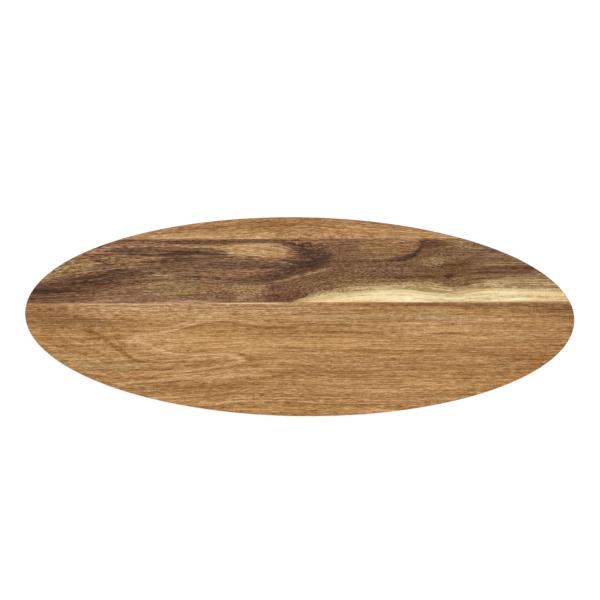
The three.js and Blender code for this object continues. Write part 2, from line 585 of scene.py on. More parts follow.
    Mark(VIOLET, 0.95, 0.7, [(-90, 47, 0), (-78, 47.3, 2.2), (-58, 47.2, 3.1), (-40, 47.3, 3.5),
        (-20, 46.4, 3.2), (-5, 46, 0)]),
    Mark(UMBER, 0.85, 0.7, [(-54, 35.5, 0), (-45, 34.8, 0.8), (-37, 34.8, 1.6), (-28, 35, 3.7),
        (-18, 36.9, 3.8), (-4, 41, 3), (8, 45, 0)], ragged=0.6),
    Mark(WALNUT, 0.6, 0.9, [(26, 47.5, 0), (40, 48, 1.8), (56, 48.3, 1.8), (70, 49, 0)], ragged=0.3),
    Mark(UMBER, 0.8, 0.8, [(28, 49.3, 0), (50, 49.8, 0.9), (70, 50.2, 0.8), (86, 50.6, 0.6), (94, 51.5, 0)],
        ragged=0.3),
    Mark(INK, 1.0, 0.8, [(72, 50.2, 0), (84, 50.5, 0.8), (92, 51, 1.4), (100, 53.3, 1.7), (105, 56.2, 2.2),
        (108.5, 61, 3.2), (111, 65.5, 3.4), (114, 68, 1.8), (118, 69.5, 0)], ragged=0.18),
    Mark(UMBER, 0.85, 0.9, [(107, 66, 0), (112, 67, 3), (119, 67.5, 3), (126, 67, 2.2), (132, 66, 1),
        (140, 64, 0)], ragged=0.3),
    Mark(VIOLET, 0.8, 0.8, [(74, 52, 0), (82, 52.3, 0.8), (90, 53, 1.3), (98, 55, 1.2), (104, 58, 0)],
        ragged=0.3),
    Mark(INK, 0.8, 0.8, [(76, 51.5, 0), (86, 52.3, 0.5), (96, 53.6, 0.7), (103, 56.4, 0.8), (108, 59.5, 0)],
        ragged=0.15),
    Mark(UMBER, 0.8, 0.8, [(-2, 55, 0), (10, 55.5, 1.5), (24, 55, 1), (40, 56, 0)]),
    Mark(UMBER, 0.7, 0.8, [(84, 35.5, 0), (94, 35, 1.6), (104, 35.5, 0)], ragged=0.5),
    Mark(SIENNA, 0.9, 0.8, [(108, 37, 0), (120, 36.5, 1), (130, 36.5, 1.5), (138, 36.8, 1.8),
        (145, 37.5, 0)], ragged=0.4),
    Mark(SCORCH, 1.0, 0.5, [(130, 36, 0), (133, 36.2, 1.3), (137, 36.6, 1.8), (140, 37, 0)], ragged=0.12),
    Mark(UMBER, 0.45, 0.8, [(180, 42.5, 0), (192, 43.5, 1), (205, 44.5, 1.2), (225, 45, 1.2)], ragged=0.5),
    # Finer streaks, most of them light
    Mark(SAND, 0.75, 0.6, [(-180, 64, 0), (-165, 64.2, 0.6), (-148, 64, 0.9), (-130, 64.3, 0.7),
        (-112, 64.8, 1.1), (-95, 64.5, 0.9), (-80, 63.8, 0.8), (-66, 62.5, 0)], ragged=0.6),
    Mark(SAND, 0.7, 0.6, [(-184, 54.5, 0), (-168, 53.3, 2), (-150, 53.3, 2.2), (-136, 54, 1.4),
        (-122, 54, 0)], ragged=0.5),
    Mark(TAN, 0.8, 0.6, [(-172, 48.5, 0), (-162, 48.7, 0.8), (-150, 48.8, 0.8), (-140, 49, 0.9),
        (-130, 49.3, 0)], ragged=0.6),
    Mark(WALNUT, 0.6, 0.8, [(-80, 44.3, 0), (-68, 44, 1.6), (-56, 44, 1.8), (-44, 44.4, 1.2),
        (-34, 44.5, 0)], ragged=0.4),
    Mark(CHESTNUT, 0.2, 0.7, [(-68, 41.5, 0), (-55, 41.5, 2), (-45, 42, 2.4), (-38, 42, 1.8), (-30, 42, 0)],
        ragged=0.5),
    Mark(TAN, 0.9, 0.7, [(-94, 39.5, 0), (-82, 39.5, 1), (-66, 38.4, 1.1), (-52, 38.6, 1.4),
        (-42, 39.3, 1.6), (-33, 40, 0)], ragged=0.5),
    Mark(OLIVE, 0.62, 0.6, [(-34, 30.8, 0), (-22, 32.1, 0.6), (-10, 34.2, 0.8), (0, 36.7, 0.8),
        (12, 40.2, 0.9), (25, 43.5, 0.9), (34, 45, 0.7), (44, 45.9, 0)], ragged=0.2),
    Mark(OLIVE, 0.7, 0.7, [(-185, 22, 0), (-165, 25, 0.6), (-145, 28, 0.8), (-128, 30.5, 0.8),
        (-110, 31.5, 0)], ragged=0.4),
    Mark(OLIVE, 0.7, 0.7, [(-125, 22.3, 0), (-105, 22.5, 0.9), (-85, 22.5, 0.8), (-72, 22.5, 0)],
        ragged=0.6),
    Mark(OLIVE, 0.75, 0.7, [(162, 48, 0), (185, 48.8, 1.6), (198, 49.8, 1.8), (212, 49.5, 0)], ragged=0.5),
    Mark(OLIVE, 0.6, 0.8, [(52, 53.8, 0), (62, 54, 1), (74, 53.6, 1.3), (86, 54.2, 0)], ragged=0.5),
]

MIDDLE_LIVELY = [
    Area(0.6, [(-35, 47, 0), (-15, 49, 8), (5, 53, 12), (20, 54, 10), (35, 56, 0)]),
]

MOTTLED = [
    Area(1.0, [(15, 34, 0), (40, 40, 10), (60, 44, 13), (90, 45, 14), (115, 49, 18), (130, 50, 20),
        (155, 46, 16), (180, 40, 0)]),
    Area(0.5, [(-190, 17, 0), (-160, 19, 6), (-120, 22, 9), (-90, 22, 8), (-70, 22, 0)]),
    Area(1.0, [(-95, 21, 0), (-75, 22, 8), (-40, 22, 10), (-10, 22, 10), (30, 23, 6), (50, 26, 0)]),
    Area(0.8, [(-30, 40, 0), (-10, 46, 6), (10, 52, 12), (30, 56, 12), (50, 58, 0)]),
]

LOWER_MARKS = [
    # Along the joint and at the left end
    Mark(BISCUIT, 0.65, 0.9, [(-215, 9, 0), (-175, 9, 4.5), (-120, 7.5, 8.5), (-60, 7, 9), (-25, 7.5, 7),
        (20, 9, 0)]),
    Mark(PALE, 0.4, 0.6, [(-250, 11.7, 1.6), (-200, 11.8, 1.3), (-170, 12.2, 0)], ragged=0.5),
    Mark(AMBER, 0.45, 0.9, [(-78, 10.9, 0), (-60, 10.8, 1.4), (-20, 10.8, 1.6), (10, 10.8, 1.4),
        (30, 11, 0)], ragged=0.5),
    Mark(CREAM, 0.95, 0.4, [(-84, 12.7, 0), (-66, 12.5, 0.4), (-36, 12.5, 0.45), (-20, 12.6, 0.3),
        (-8, 12.7, 0)], ragged=0.1),
    Mark(CREAM, 0.5, 0.6, [(85, 12.8, 0), (110, 12.7, 0.35), (150, 12.6, 0.4), (190, 12.6, 0.45),
        (215, 12.7, 0.3), (235, 12.8, 0)], ragged=0.1),
    Mark(COCOA, 0.85, 0.9, [(-255, 1, 8), (-230, 0, 8), (-205, -2, 6.5), (-185, -4, 4), (-165, -5, 0)]),
    Mark(COCOA, 0.75, 0.8, [(20, 10.5, 0), (60, 10.5, 1.7), (110, 10.5, 2.4), (150, 9.5, 2.7), (190, 8, 4),
        (220, 6, 6), (252, 4, 9)]),
    Mark(CINNAMON, 0.55, 0.8, [(88, 9.6, 0), (104, 10.2, 0.8), (118, 11, 0.9), (132, 11.8, 0)], ragged=0.3),
    Mark(CINNAMON, 0.5, 0.8, [(150, 10.8, 0), (161, 10.2, 0.8), (172, 9.6, 0)], ragged=0.3),
    Mark(CINNAMON, 0.6, 0.8, [(180, 10.5, 0), (192, 10, 0.8), (206, 9.4, 1), (220, 8.6, 2), (250, 7, 3.2)],
        ragged=0.3),
    Mark(ASH, 0.5, 0.9, [(0, 3.5, 0), (14, 3, 2.5), (35, 0, 2), (62, -1, 3.5), (85, 0.5, 3.5),
        (105, 1.5, 4), (130, 1, 3), (150, 1, 0)]),
    Mark(ASH, 0.4, 0.9, [(95, -2, 0), (120, -3.5, 3), (150, -4.5, 4), (170, -4.5, 2), (188, -4, 0)]),
    Mark(ASH, 0.45, 0.9, [(-222, -35, 2.5), (-205, -41, 4), (-190, -44.5, 4.5), (-170, -44.5, 4.5),
        (-150, -45.5, 3), (-136, -46, 0)]),
    # The plain middle of the arches
    Mark(STRAW, 0.75, 0.9, [(-140, -21.5, 0), (-115, -21.5, 5), (-85, -22, 9), (-55, -23, 9),
        (-25, -25, 4.5), (10, -24.5, 3), (50, -24, 4), (75, -24, 0)]),
    Mark(PALE, 0.6, 0.9, [(-136, -20.5, 0), (-122, -20.5, 2.5), (-108, -20, 3), (-92, -19.5, 2),
        (-78, -19, 0)], ragged=0.5),
    Mark(STRAW, 0.5, 0.9, [(-150, -52.5, 0), (-130, -52.5, 1.5), (-110, -52, 1.5), (-92, -51.5, 0)],
        ragged=0.4),
    # Dark lines of the arches
    Mark(AMBER, 1.0, 0.6, [(-202, -9, 0), (-193, -12.5, 1.3), (-185, -14.7, 1.9), (-178, -19.5, 2.1),
        (-172, -24, 2.1), (-166, -28.5, 2.2), (-160, -32, 2.2), (-153, -37, 1.9), (-146, -40.3, 1.3),
        (-130, -41, 0.9), (-105, -41, 0.7), (-85, -40.5, 0.7), (-68, -40, 0)], ragged=0.22),
    Mark(AMBER, 0.85, 0.8, [(-122, -13, 0), (-105, -10.5, 1), (-85, -7, 1.5), (-70, -6.5, 2), (-58, -6, 2),
        (-46, -8, 1.5), (-20, -9.5, 1.2), (15, -7.5, 1.3), (45, -8, 0.8), (65, -8, 0)], ragged=0.4),
    Mark(AMBER, 0.75, 0.7, [(-100, -31.8, 0), (-85, -32, 0.7), (-75, -31.8, 0.7), (-60, -32.8, 0.8),
        (-52, -35, 1.2), (-45, -38, 1.9), (-42, -42, 2), (-40, -46, 0)], ragged=0.3),
    Mark(AMBER, 0.7, 0.7, [(-138, -48.5, 0), (-128, -48.3, 0.8), (-120, -47.8, 0.9), (-112, -47, 0)],
        ragged=0.5),
    Mark(AMBER, 0.8, 0.7, [(-112, -50.8, 0), (-95, -50.3, 0.5), (-82, -48.8, 0.9), (-75, -47, 0.9),
        (-66, -45.3, 0)], ragged=0.3),
    Mark(AMBER, 0.7, 0.8, [(-200, -52, 1.5), (-188, -53.5, 1.6), (-178, -54.5, 1.2), (-160, -55.3, 0.6),
        (-148, -55.5, 0)], ragged=0.5),
    Mark(AMBER, 0.7, 0.7, [(-160, -60, 0), (-148, -60.2, 0.7), (-130, -59.8, 0.7), (-112, -58.5, 0.6),
        (-95, -57.5, 0)], ragged=0.5),
    Mark(AMBER, 0.35, 0.9, [(-165, -63, 0), (-145, -63, 2), (-120, -62, 2), (-98, -62, 2.5),
        (-75, -63.5, 2.5), (-50, -64, 1.5), (-35, -64, 0)], ragged=0.7),
    Mark(AMBER, 0.7, 0.8, [(-42, -57.5, 0), (-30, -55.3, 0.9), (-18, -53, 1), (-6, -51.3, 0.8),
        (8, -50.5, 0)], ragged=0.4),
    Mark(AMBER, 0.35, 0.9, [(-125, -69, 2.5), (-100, -69.5, 2.5), (-70, -69.5, 2), (-45, -70, 1.5),
        (-30, -70, 0)]),
    # Light lines of the arches and along the lower edge
    Mark(PALE, 0.9, 0.8, [(-159, -19.2, 0), (-152, -18.9, 2.1), (-144, -17.9, 2.5), (-136, -16.3, 1.5),
        (-121, -13.2, 1), (-110, -10.5, 0.8), (-98, -6.5, 0.8), (-88, -3, 1.8), (-76, -2.4, 2),
        (-62, -2.5, 1.2), (-50, -4, 1), (-38, -6.7, 0)], ragged=0.15),
    Mark(PALE, 0.9, 0.8, [(-158, -20.8, 0), (-151, -21.6, 2), (-143, -23.3, 2.3), (-136, -26.4, 1.4),
        (-128, -30, 1.1), (-118, -32.6, 0.8), (-108, -33.8, 0.8), (-96, -34.6, 0.9), (-82, -34, 0.8),
        (-68, -34, 0.9), (-60, -36.7, 1.9), (-55, -38.7, 1.9), (-49, -39.7, 0)], ragged=0.15),
    Mark(PALE, 0.55, 0.9, [(-150, -48.8, 0), (-135, -49.5, 0.6), (-115, -49.5, 0.7), (-96, -48, 0.8),
        (-82, -45.8, 0.9), (-70, -43.5, 1.1), (-60, -41.7, 1.4), (-49, -39.7, 0)], ragged=0.25),
    Mark(PALE, 0.6, 0.9, [(-172, -60.5, 0), (-160, -60, 0.6), (-145, -58.2, 0.7), (-130, -57.7, 1),
        (-112, -55.7, 1.5), (-90, -55, 1.9), (-70, -54.5, 1.8), (-56, -53, 1.5), (-42, -52, 0)],
        ragged=0.35),
    Mark(STRAW, 0.5, 0.9, [(-112, -75, 1), (-90, -76, 3), (-62, -81, 3.5), (-38, -82, 3.5), (-15, -84, 0)]),
    # The middle and the right side
    Mark(STRAW, 0.7, 0.8, [(15, -21, 0), (35, -21, 1.2), (60, -21.2, 1.2), (85, -22, 0)], ragged=0.6),
    Mark(PALE, 0.5, 0.9, [(80, -11, 0), (105, -11, 3.5), (140, -12.5, 4), (175, -15.5, 4), (205, -17, 3),
        (232, -17, 0)]),
    Mark(STRAW, 0.45, 0.9, [(30, -30, 0), (55, -30, 5), (85, -30, 5), (110, -31, 0)]),
    Mark(STRAW, 0.5, 0.9, [(-40, -41, 0), (-28, -41, 4), (-14, -39.5, 4), (2, -37, 3.5), (18, -36, 0)]),
    Mark(STRAW, 0.5, 0.9, [(70, -24, 0), (95, -25, 4.5), (120, -25, 4), (150, -22.8, 2.3),
        (175, -21.5, 2.5), (195, -22, 0)]),
    Mark(AMBER, 0.5, 0.9, [(138, -52, 0), (155, -53, 3.5), (175, -52, 3.5), (200, -51, 3.5)]),
    Mark(AMBER, 0.22, 0.9, [(-5, -52, 0), (20, -53, 7), (60, -56, 5), (90, -57, 0)]),
    Mark(STRAW, 0.6, 0.9, [(65, -6, 0), (90, -7.5, 2), (115, -8.5, 2), (140, -10, 1.5), (165, -11, 0)]),
    Mark(AMBER, 0.7, 0.8, [(15, -14, 0), (40, -14.5, 1.4), (60, -15.5, 1.2), (80, -16, 0)], ragged=0.7),
    Mark(AMBER, 0.8, 0.7, [(112, -15.3, 0), (126, -15.5, 0.7), (140, -15.5, 0.7), (150, -15.5, 0)],
        ragged=0.5),
    Mark(AMBER, 0.6, 0.9, [(140, -32, 0), (160, -33, 4), (180, -35, 5.5), (200, -37, 8), (218, -36, 11),
        (245, -30, 12)]),
    Mark(AMBER, 0.6, 0.9, [(0, -50, 0), (25, -51, 2), (50, -51, 1.5), (75, -50, 0)]),
    Mark(AMBER, 0.5, 0.9, [(66, -46, 0), (86, -46.5, 2.4), (110, -47, 1.8), (130, -47, 2), (160, -46, 2),
        (185, -45, 0)]),
    Mark(STRAW, 0.5, 0.8, [(80, -60, 0), (105, -61, 3), (130, -62.5, 4), (150, -63.5, 5), (175, -61, 3)]),
    Mark(AMBER, 0.6, 0.9, [(2, -45.5, 0), (18, -45, 3), (36, -45, 3), (52, -45, 0)]),
    Mark(AMBER, 0.35, 0.9, [(205, -17, 0), (222, -18, 6), (250, -18, 8)]),
    Mark(AMBER, 0.3, 0.9, [(45, -74, 0), (70, -75, 4), (100, -74, 5), (130, -72, 5)]),
]

LOWER_LIVELY = [
    Area(0.6, [(-240, 8, 3), (-150, 6, 6), (-80, 6, 7), (-20, 6, 6), (25, 6, 0)]),
    Area(0.2, [(-130, -72, 8), (-60, -76, 10), (60, -76, 10), (130, -70, 8)]),
]

LOWER_RINGS = Rings(
    axis=[(-250, 0), (-205, -5), (-180, -8.5), (-166, -12), (-151, -19), (-139, -20), (-125, -22),
          (-90, -19.5), (250, -20)],
    core=[(-250, 40), (-205, 30), (-178, 24.8), (-166, 21), (-151, 16), (-139, 15.6), (-121, 13.2),
          (-100, 9.5), (-88, 6), (-60, 5), (0, 9), (250, 14)])

UPPER_CLIMBS = [
    Climb(rise=[(-170, -4), (-110, -1), (-70, 2), (-30, 5), (5, 6), (40, 4), (80, 0), (150, -4)],
          share=[(71, 0), (76, 0.6), (82, 1)]),
]
MIDDLE_CLIMBS = [
    Climb(rise=[(-250, -14), (-215, -9), (-180, -5), (-150, -2), (-125, 0), (-100, 0.5), (-70, -1.5),
                (-40, -3), (-20, -1), (0, 3), (25, 9), (45, 11), (95, 12), (118, 10), (138, 8), (158, 11),
                (180, 12), (250, 12)],
          share=[(13, 0.25), (25, 0.8), (35, 1), (45, 0.8), (62, 0)]),
    Climb(rise=[(-115, 0), (-80, 0.5), (-50, 1.5), (-30, 0.5), (-15, -2), (-3, -4.5), (10, -5), (35, 0)],
          share=[(48, 0), (56.5, 1), (60, 1), (68.5, 0)]),
]
LOWER_CLIMBS = [
    Climb(rise=[(-190, -8), (-165, -7), (-120, -4), (-80, 0), (-50, 4), (-20, 4), (30, 0)],
          share=[(-90, 0), (-62, 1), (-50, 1), (-18, 0)]),
]

GOLDEN_WOOD = (0.75, 1, 1.6)
DARK_WOOD = (0.72, 1, 1.45)
STAVES = {
    "upper": Stave(seed=1, colour=CARAMEL, reddening=GOLDEN_WOOD, lean=0.5, climbs=UPPER_CLIMBS,
                   bands=0.3, streaks=0.6, lines=1.0, threads=0.8, fibres=1.75, line_length=45,
                   hues=0.65, settle=0.005, marks=UPPER_MARKS),
    "middle": Stave(seed=2, colour=BROWN, reddening=DARK_WOOD, lean=0.6, climbs=MIDDLE_CLIMBS,
                    bands=0.45, streaks=0.8, lines=2.3, threads=1.0, fibres=3.4, line_length=45,
                    hues=0.85, settle=0.01, marks=MIDDLE_MARKS, lively=MIDDLE_LIVELY,
                    mottled=MOTTLED, specks=3.7, sapwood=True),
    "lower": Stave(seed=3, colour=HONEY, reddening=GOLDEN_WOOD, lean=0.4, climbs=LOWER_CLIMBS,
                   bands=0.25, streaks=0.5, lines=1.1, threads=0.9, fibres=1.5, line_length=60,
                   hues=0.6, settle=-0.05, marks=LOWER_MARKS, lively=LOWER_LIVELY, rings=LOWER_RINGS),
}

# Sapwood: the upper limits over x of its cream core and of the olive edge above it, and how soft they are
SAPWOOD_TOP = [(-22, 8), (-9, 13), (1, 13.9), (14, 17.3), (28, 19.2), (42, 20.2), (56, 22), (75, 23.8),
               (95, 23), (115, 21.6), (126, 21.2), (138, 20.7), (150, 21.7), (163, 23.2), (178, 24.5),
               (192, 24.6), (207, 24.2), (225, 23.3), (250, 22)]
OLIVE_TOP = [(-22, 6), (-6, 13.5), (4, 17.6), (13, 20.9), (23, 23.3), (40, 26.3), (60, 28.8), (90, 30),
             (110, 30.3), (125, 28.6), (138, 26.8), (150, 26), (163, 31), (180, 32.8), (205, 33),
             (230, 31), (250, 29)]
SAPWOOD_SOFTNESS = [(-10, 0.7), (8, 1), (40, 2.5)]
SAPWOOD_FRAY = 0.25
SAPWOOD_ROUGHNESS = 0.4
SAPWOOD_STREAK_ROUGHNESS = 1.5
SAPWOOD_FIBRE_ROUGHNESS = 4

SAPWOOD_MARKS = [
    Mark(SAPWOOD_WHITE, 0.85, 0.9, [(76, 14.8, 0), (90, 15.3, 1.5), (104, 15.6, 2.3), (125, 15.4, 2.4),
        (145, 14.8, 1.6), (158, 14.4, 0)], ragged=0.4),
    Mark(SAPWOOD_WHITE, 1.0, 0.9, [(132, 14.7, 0), (150, 15, 1.8), (165, 15.4, 2.3), (180, 15.8, 2.3),
        (196, 16.3, 1.9), (214, 15, 0)], ragged=0.4),
    Mark(SAPWOOD_GOLD, 0.45, 0.9, [(110, 20.5, 0), (126, 19.8, 1), (140, 19, 1.8), (152, 20, 1.8),
        (165, 23, 1.2), (180, 25, 0)], ragged=0.3),
    Mark(SAPWOOD_GOLD, 0.9, 0.9, [(192, 19.5, 0), (208, 19.3, 2.2), (222, 18.5, 4.2), (252, 18, 5)]),
    Mark(OLIVE, 0.55, 0.7, [(148, 27, 0), (163, 27.8, 2.3), (185, 28.5, 3), (205, 27.5, 3),
        (225, 26.5, 2.5), (248, 25, 2.5)], ragged=0.5),
    Mark(OLIVE_BROWN, 0.8, 0.8, [(188, 27.5, 0), (206, 26.8, 0.8), (226, 26, 0.8), (244, 25.3, 0)],
        ragged=0.3),
    Mark(OLIVE_BROWN, 0.45, 0.8, [(92, 25.3, 0), (108, 23.4, 0.6), (124, 21.8, 0.7), (138, 21, 0.6),
        (150, 20.8, 0)], ragged=0.3),
]

# Where the dark stave is calm, besides the sapwood, and how its noise is made up in both
CALM = [
    Area(0.9, [(148, 38, 0), (172, 38, 14), (200, 36, 18), (250, 34, 20)]),
    Area(0.8, [(-95, 64, 0), (-70, 62, 4), (-40, 60.5, 7), (-15, 58.5, 6), (-2, 57, 0)]),
]
CALM_TONE = (2.2, 2.6, 2.4)  # strengths of the flow, the lines and the fibres
CREAM_TONE = (2.2, 3.2, 2.2)
CALM_HUE_LOSS = 0.5

# Noise in the wood: length, width, seed and, where all staves share it, strength
BROAD_WAVER = Layer(70, 9, 1, 1.4)
FINE_WAVER = Layer(18, 1.6, 2, 0.8)
FRAY = Layer(30, 0.8, 3, 30)
BANDS = Layer(160, 11, 4)
STREAKS = Layer(60, 2.6, 5)
LINES = Layer(45, 0.8, 6)
THREADS = Layer(16, 1.0, 7)
FIBRES = Layer(6, 0.6, 8)
SPECKS = Layer(2.8, 0.75, 9)
FINE_RED = Layer(16, 1.1, 10, 0.25)
BROAD_RED = Layer(60, 3, 11, 0.12)
FINE_GREY = Layer(16, 1.1, 12, 0.35)
BROAD_GREY = Layer(60, 3, 13, 0.3)
CLUMPS = Layer(9, 2.2, 14, 0.35)
RING_BANDS = Layer(150, 5, 15, 0.3)
RING_LINES = Layer(90, 1.6, 16, 0.5)
FLOW = Layer(110, 2.4, 17)
SWIRL = Layer(25, 14, 18, 4)
PORES = Layer(1.6, 0.7, 19)
RING_DRIFT = 0.1  # how fast the rings change from one flank of an arch to the other

# How the noise shows
LEAST_HALF_WIDTH = 0.01
MOTTLE_SHARE = 0.75
MOTTLED_STREAKS = 0.5
DARK_CONTRAST = 1.25  # contrast of the fibres in black wood, and how fast paler wood loses it
CONTRAST_LOSS = 1.8
LEAST_CONTRAST = 0.25
LIGHTEST_TONE = 0.75
LIGHTEST_TONE_SOFTNESS = 0.5
PORE_RANGE = (0.0, 0.5)
PORE_DARKENING = 0.8

# The surface
END_GRAIN_RANGE = (0.2, 1.0)  # share of the normal that runs along the grain
SAWN_EDGE_RANGE = (0.9, 0.3)  # share of the normal that points up or down
END_GRAIN_DARKENING = 0.35
EDGE_CALM = 0.4
WOOD_ROUGHNESS = 0.5
WOOD_ROUGHNESS_SPREAD = 0.12
RELIEF_STRENGTH = 0.25
RELIEF_DEPTH = 0.2 * MM


def wood_place(tree):
    """Where a point lies in the wood, in millimetres."""
    coordinates = tree.nodes.new("ShaderNodeTexCoord")
    split = tree.nodes.new("ShaderNodeSeparateXYZ")
    tree.links.new(coordinates.outputs["Object"], split.inputs[0])
    x, y, z = (Field(socket) * MM_PER_METRE for socket in split.outputs)
    return Place(x, y, z)


def surface_cuts(tree):
    """How far the surface is end grain, cut straight across the fibres, and how far a sawn edge, 0 to 1."""
    geometry = tree.nodes.new("ShaderNodeNewGeometry")
    split = tree.nodes.new("ShaderNodeSeparateXYZ")
    tree.links.new(geometry.outputs["Normal"], split.inputs[0])
    along, _, up = (compute("ABSOLUTE", Field(socket)) for socket in split.outputs)
    return smooth_step(along, *END_GRAIN_RANGE), smooth_step(up, *SAWN_EDGE_RANGE)


def new_material(name):
    material = bpy.data.materials.new(name)
    material.use_nodes = True
    tree = material.node_tree
    return material, tree, tree.nodes["Principled BSDF"]


def toned(colour, tone, reddening):
    """The colour made lighter or darker by a tone, with red and blue following in their own measure."""
    return multiply(colour, combine(*[compute("EXPONENT", tone * share) for share in reddening]))


class Wood(NamedTuple):
    """What the steps of one stave's material share."""
    stave: Stave
    figure: Place  # the point with the lean of the figure taken out, where the marks lie
    grain: Place  # the figure with the climb of the grain taken out, where the noise lies
    waver: Field  # how far the edges of marks wander across the grain
    fray: Field  # and along it
    streaks: Field
    lines: Field
    fibres: Field


def stave_wood(tree, stave):
    place = wood_place(tree)
    depth = TOP / MM - place.z
    figure = Place(place.x, place.y + stave.lean * depth, place.z)
    climb = sum(curve(figure.x, part.rise) * curve(figure.y, part.share) for part in stave.climbs)
    grain = Place(figure.x, figure.y - climb, figure.z)
    return Wood(
        stave, figure, grain,
        waver=noise(grain, BROAD_WAVER, stave.seed) + noise(grain, FINE_WAVER, stave.seed),
        fray=noise(grain, FRAY, stave.seed),
        streaks=noise(grain, STREAKS, stave.seed),
        lines=noise(grain, LINES._replace(length=stave.line_length), stave.seed),
        fibres=noise(grain, FIBRES, stave.seed))


def cover(wood, mark):
    """The strength of a mark or an area inside it, 0 outside it."""
    x = wood.figure.x + wood.fray * mark.ragged
    y = wood.figure.y + wood.waver * mark.ragged
    centre = curve(x, [(at, across) for at, across, _ in mark.points])
    half_width = curve(x, [(at, half) for at, _, half in mark.points])
    away = compute("ABSOLUTE", y - centre) / compute("MAXIMUM", half_width, LEAST_HALF_WIDTH)
    return smooth_step(away, 1 + mark.feather, 1 - mark.feather) * mark.strength


def painted(wood, colour, marks):
    """The colour with the marks laid over it, one after the other."""
    for mark in marks:
        colour = tinted(colour, mark.colour, cover(wood, mark))
    return colour


def banded_wood(wood):
    """The stave's plain colour in soft bands, with growth rings where it has them."""
    stave, figure = wood.stave, wood.figure
    bands = noise(wood.grain, BANDS, stave.seed) * stave.bands
    if stave.rings:
        across = figure.y - curve(figure.x, stave.rings.axis)
        core = curve(figure.x, stave.rings.core)
        ring = compute("SQRT", across * across + core * core)
        arches = Place(figure.x, ring, figure.z + figure.y * RING_DRIFT)
        bands = bands + noise(arches, RING_BANDS, stave.seed) + noise(arches, RING_LINES, stave.seed)
    return toned(stave.colour, bands, stave.reddening)


def fibre_tone(wood):
    """How much lighter or darker the fibres make the wood."""
    stave, grain = wood.stave, wood.grain
    streaks = wood.streaks * stave.streaks
    threads = noise(grain, THREADS, stave.seed) * stave.threads
    tone = streaks + wood.lines * stave.lines + threads + wood.fibres * stave.fibres
    if stave.mottled:
        mottle = compute("MINIMUM", sum(cover(wood, area) for area in stave.mottled), 1.0) * MOTTLE_SHARE
        swirl = Place(grain.x, grain.y + noise(grain, SWIRL, stave.seed), grain.z)
        specks = noise(swirl, SPECKS, stave.seed) + noise(swirl, CLUMPS, stave.seed)
        tone = blend(tone, specks * stave.specks + streaks * MOTTLED_STREAKS, mottle)
    for area in stave.lively:
        tone = tone * (1.0 + cover(wood, area))
    return tone


def soft_tone(wood, flow, strengths):
    layers = (flow, wood.lines, wood.fibres)
    return sum(layer * strength for layer, strength in zip(layers, strengths))


def with_sapwood(wood, colour, tone, hues):
    """The colour, tone and strength of hues with the sapwood and the calm areas laid in."""
    figure = wood.figure
    softness = curve(figure.x, SAPWOOD_SOFTNESS)
    bumps = wood.waver + wood.streaks * SAPWOOD_STREAK_ROUGHNESS + wood.fibres * SAPWOOD_FIBRE_ROUGHNESS
    rough_x = figure.x + wood.fray * SAPWOOD_FRAY * softness
    rough_y = figure.y + bumps * SAPWOOD_ROUGHNESS * softness
    edge = smooth_step((rough_y - curve(rough_x, OLIVE_TOP)) / softness, 1, -1)
    cream = smooth_step((rough_y - curve(rough_x, SAPWOOD_TOP)) / softness, 1, -1)
    calm = sum(cover(wood, area) for area in CALM)
    flow = noise(wood.grain, FLOW, wood.stave.seed)
    tone = blend(tone, soft_tone(wood, flow, CALM_TONE), calm)
    tone = blend(tone, soft_tone(wood, flow, CREAM_TONE), cream)
    hues = hues * (1.0 - CALM_HUE_LOSS * compute("MAXIMUM", calm, cream))
    colour = tinted(colour, SAPWOOD_EDGE, edge)
    colour = tinted(colour, SAPWOOD, cream)
    return painted(wood, colour, SAPWOOD_MARKS), tone, hues


def finished(tree, wood, colour, tone, hues):
    """The colour with its fibres, pores and changes of hue, which pale wood and sawn edges show less.

    Cut ends drink more oil and are darker."""
    stave, grain = wood.stave, wood.grain
    end_grain, sawn_edge = surface_cuts(tree)
    contrast = compute("MAXIMUM", DARK_CONTRAST - green_of(colour) * CONTRAST_LOSS, LEAST_CONTRAST)
    contrast = contrast * (1.0 - EDGE_CALM * sawn_edge)
    tone = compute("SMOOTH_MIN", tone, LIGHTEST_TONE, LIGHTEST_TONE_SOFTNESS)
    pores = smooth_step(noise(grain, PORES, stave.seed), *PORE_RANGE)
    tone = (tone - stave.settle - pores * PORE_DARKENING) * contrast - end_grain * END_GRAIN_DARKENING
    red = noise(grain, FINE_RED, stave.seed) + noise(grain, BROAD_RED, stave.seed)
    grey = noise(grain, FINE_GREY, stave.seed) + noise(grain, BROAD_GREY, stave.seed)
    hues = contrast * hues
    warmth = combine(compute("EXPONENT", red * hues), 1.0, compute("EXPONENT", grey * hues))
    return multiply(toned(colour, tone, stave.reddening), warmth)


def acacia(name, stave):
    material, tree, shader = new_material(name)
    wood = stave_wood(tree, stave)
    colour = painted(wood, banded_wood(wood), stave.marks)
    tone = fibre_tone(wood)
    hues = stave.hues
    if stave.sapwood:
        colour, tone, hues = with_sapwood(wood, colour, tone, hues)
    plug(finished(tree, wood, colour, tone, hues), shader.inputs["Base Color"])
    plug(WOOD_ROUGHNESS + wood.fibres * WOOD_ROUGHNESS_SPREAD, shader.inputs["Roughness"])
    shader.inputs["Specular IOR Level"].default_value = SPECULAR_LEVEL

    relief = tree.nodes.new("ShaderNodeBump")
    relief.inputs["Strength"].default_value = RELIEF_STRENGTH
    relief.inputs["Distance"].default_value = RELIEF_DEPTH
    plug(wood.fibres, relief.inputs["Height"])
    tree.links.new(relief.outputs[0], shader.inputs["Normal"])
    return material


# The glue

GLUE = seen(138, 98, 60)
GLUE_BLOTCHES = Layer(30, 2, 20, 0.5)
GLUE_SPECKS = Layer(4, 1, 21, 0.3)
GLUE_ROUGHNESS = 0.4
GLUE_ROUGHNESS_SPREAD = 0.1


